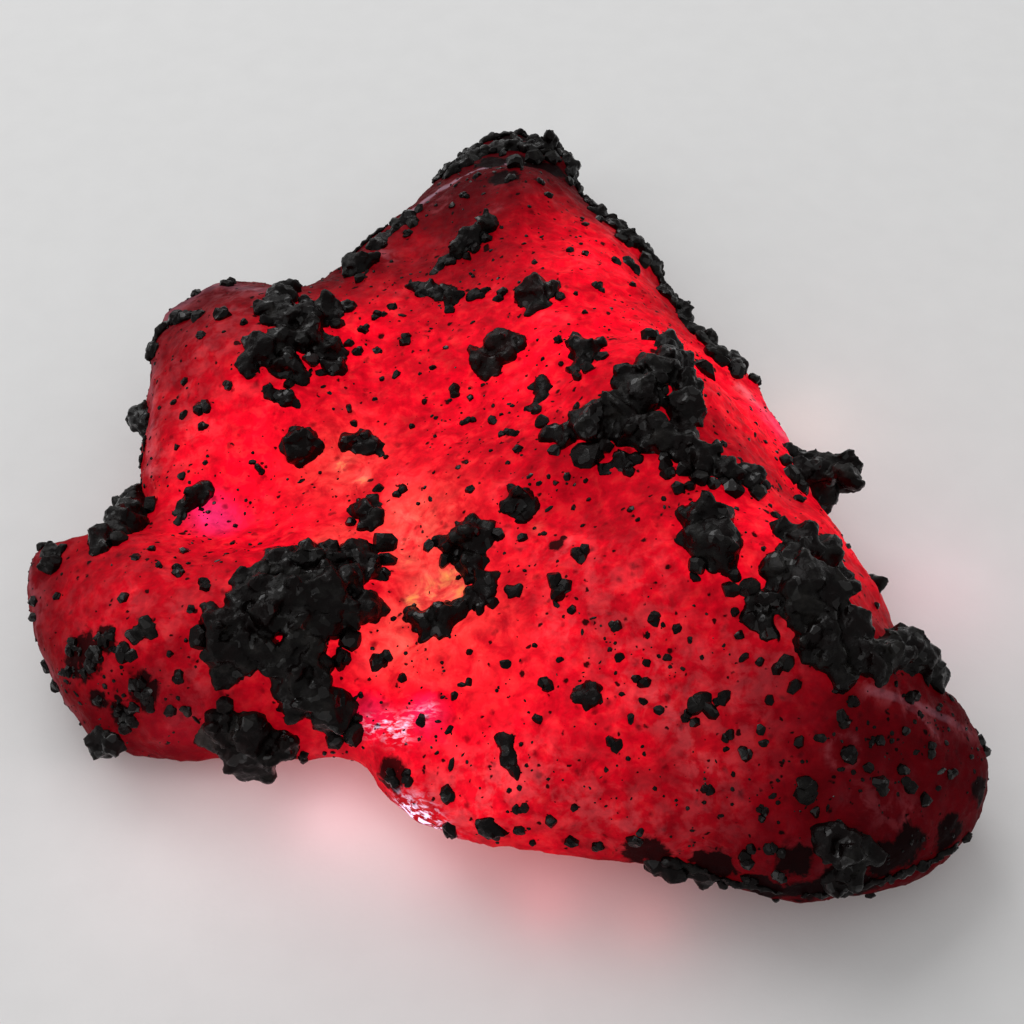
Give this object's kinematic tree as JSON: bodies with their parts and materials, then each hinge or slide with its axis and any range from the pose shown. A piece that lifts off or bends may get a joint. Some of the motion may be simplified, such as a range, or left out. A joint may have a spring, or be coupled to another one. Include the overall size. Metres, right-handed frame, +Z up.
{
  "type": "raw ruby crystal",
  "caption": "Rough translucent red ruby stone, humped and three-lobed, crusted with clusters of black mineral grains.",
  "frame": {"origin": "middle of the bounding box's bottom face, on the surface that the stone rests on", "axes": "+Z up, +Y towards the stone's far narrow lobe, +X towards its long right flank and blunt nose"},
  "size_m": [0.0594, 0.0698, 0.0182],
  "materials": {
    "ruby": "satin",
    "black_mineral": "satin"
  },
  "bodies": {
    "root": {"black_bar": "black_mineral", "black_cluster_back": "black_mineral", "black_cluster_back_left": "black_mineral", "black_cluster_back_nose": "black_mineral", "black_cluster_back_peak": "black_mineral", "black_cluster_brown": "black_mineral", "black_cluster_centre": "black_mineral", "black_cluster_crest": "black_mineral", "black_cluster_far": "black_mineral", "black_cluster_left": "black_mineral", "black_cluster_left_foot": "black_mineral", "black_cluster_left_notch": "black_mineral", "black_cluster_near_crest": "black_mineral", "black_cluster_right": "black_mineral", "black_cluster_right_edge": "black_mineral", "black_cluster_saddle": "black_mineral", "black_crust_flank": "black_mineral", "black_crust_front": "black_mineral", "black_crust_left_of_peak": "black_mineral", "black_crust_peak": "black_mineral", "black_crust_shoulder": "black_mineral", "black_grain_bar": "black_mineral", "black_grain_below_crest": "black_mineral", "black_grain_below_saddle": "black_mineral", "black_grain_beside_centre": "black_mineral", "black_grain_centre": "black_mineral", "black_grain_far": "black_mineral", "black_grain_flank": "black_mineral", "black_grain_front": "black_mineral", "black_grain_front_edge": "black_mineral", "black_grain_ground": "black_mineral", "black_grain_left_edge": "black_mineral", "black_grain_left_lobe": "black_mineral", "black_grain_left_tip": "black_mineral", "black_grain_middle": "black_mineral", "black_grain_saddle": "black_mineral", "black_grain_shoulder": "black_mineral", "black_grain_slope": "black_mineral", "black_patch_far": "black_mineral", "black_patch_nose": "black_mineral", "black_patch_oval": "black_mineral", "black_streak_far": "black_mineral", "black_streak_left": "black_mineral", "black_triangle": "black_mineral", "ruby": "ruby"}
  },
  "joints": []
}
